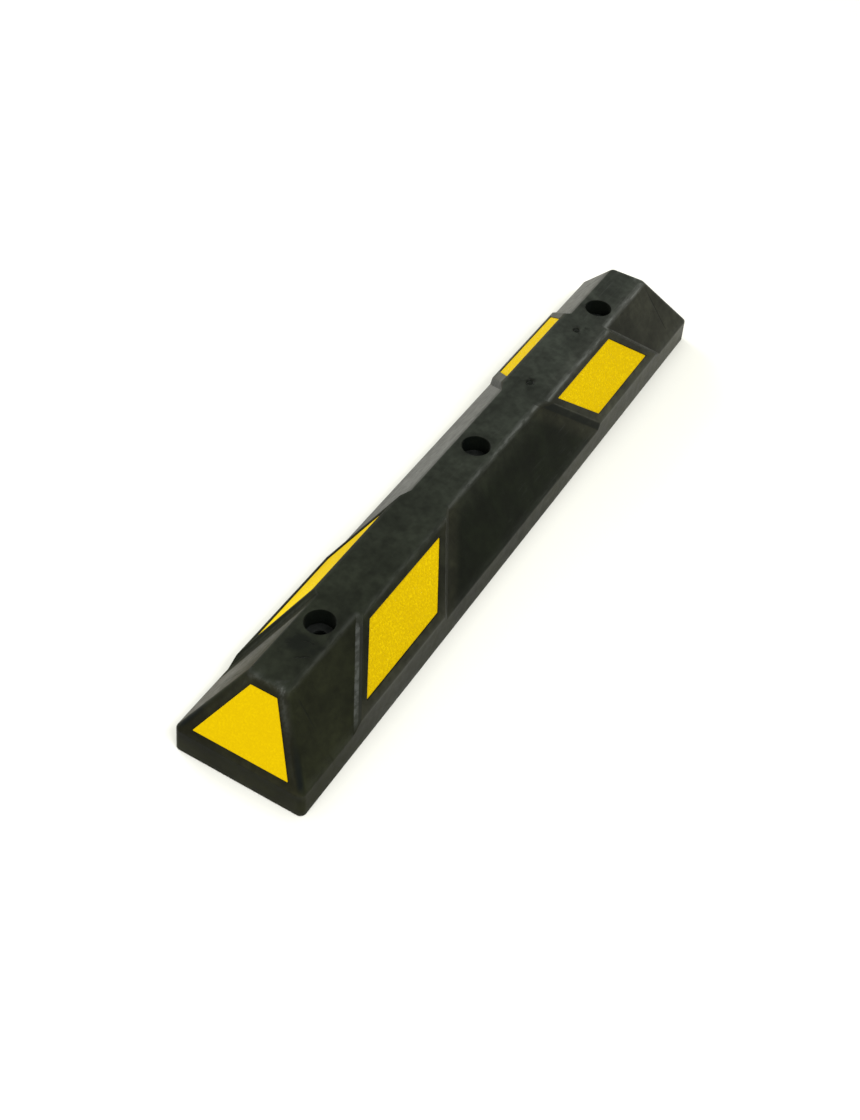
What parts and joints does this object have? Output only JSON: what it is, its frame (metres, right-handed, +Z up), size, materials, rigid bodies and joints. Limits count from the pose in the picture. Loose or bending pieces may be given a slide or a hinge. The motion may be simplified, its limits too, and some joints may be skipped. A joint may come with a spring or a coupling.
{
  "type": "rubber wheel stop",
  "caption": "Long moulded rubber parking wheel stop with sloping faces, raised pads, yellow reflective panels and counterbored bolt holes with steel seat washers.",
  "frame": {"origin": "centre of the footprint on the ground", "axes": "+X along the block's length, +Y across it, +Z up from the ground"},
  "size_m": [0.9, 0.15, 0.1],
  "materials": {
    "black_rubber": "matt moulded rubber, dusty, rubbed lighter along the edges",
    "yellow_reflector": "satin retroreflective sheeting with a fine beaded texture",
    "dull_steel": "dull darkened steel"
  },
  "bodies": {
    "root": {"rubber_body": "black_rubber", "reflector_end_front": "yellow_reflector", "reflector_end_rear": "yellow_reflector", "reflector_right_front": "yellow_reflector", "reflector_right_rear": "yellow_reflector", "reflector_left_front": "yellow_reflector", "reflector_left_rear": "yellow_reflector", "seat_washer_front": "dull_steel", "seat_washer_centre": "dull_steel", "seat_washer_rear": "dull_steel"}
  },
  "joints": []
}
